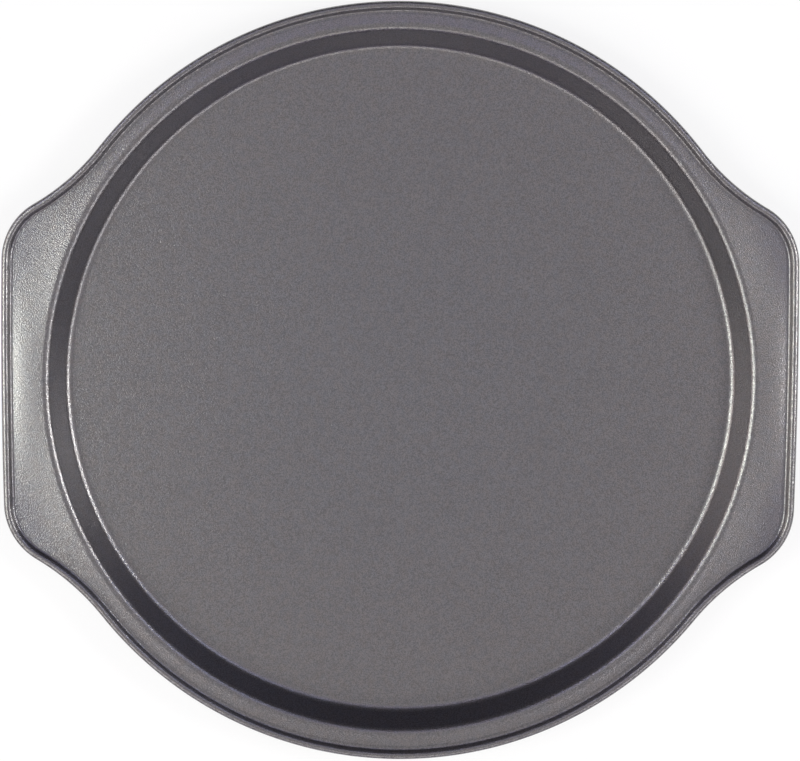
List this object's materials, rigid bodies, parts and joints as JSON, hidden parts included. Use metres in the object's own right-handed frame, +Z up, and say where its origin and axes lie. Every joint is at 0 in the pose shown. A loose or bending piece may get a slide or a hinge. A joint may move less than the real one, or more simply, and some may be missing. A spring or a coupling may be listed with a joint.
{
  "type": "round baking pan",
  "caption": "Shallow round baking pan in coated pressed steel, with a sloped wall, a narrow land, a wing grip on either side and a wired, rolled rim.",
  "frame": {"origin": "centre of the floor's underside, on which the pan stands", "axes": "+X through the middle of one wing grip, +Z up out of the basin"},
  "size_m": [0.3986, 0.3808, 0.017],
  "materials": {
    "nonstick_coat": "dark grey baked non-stick coat with a fine metallic grain, half glossy",
    "drawn_wire": "bare drawn steel wire"
  },
  "bodies": {
    "root": {"pan_body": "nonstick_coat", "rim_wire": "drawn_wire"}
  },
  "joints": []
}
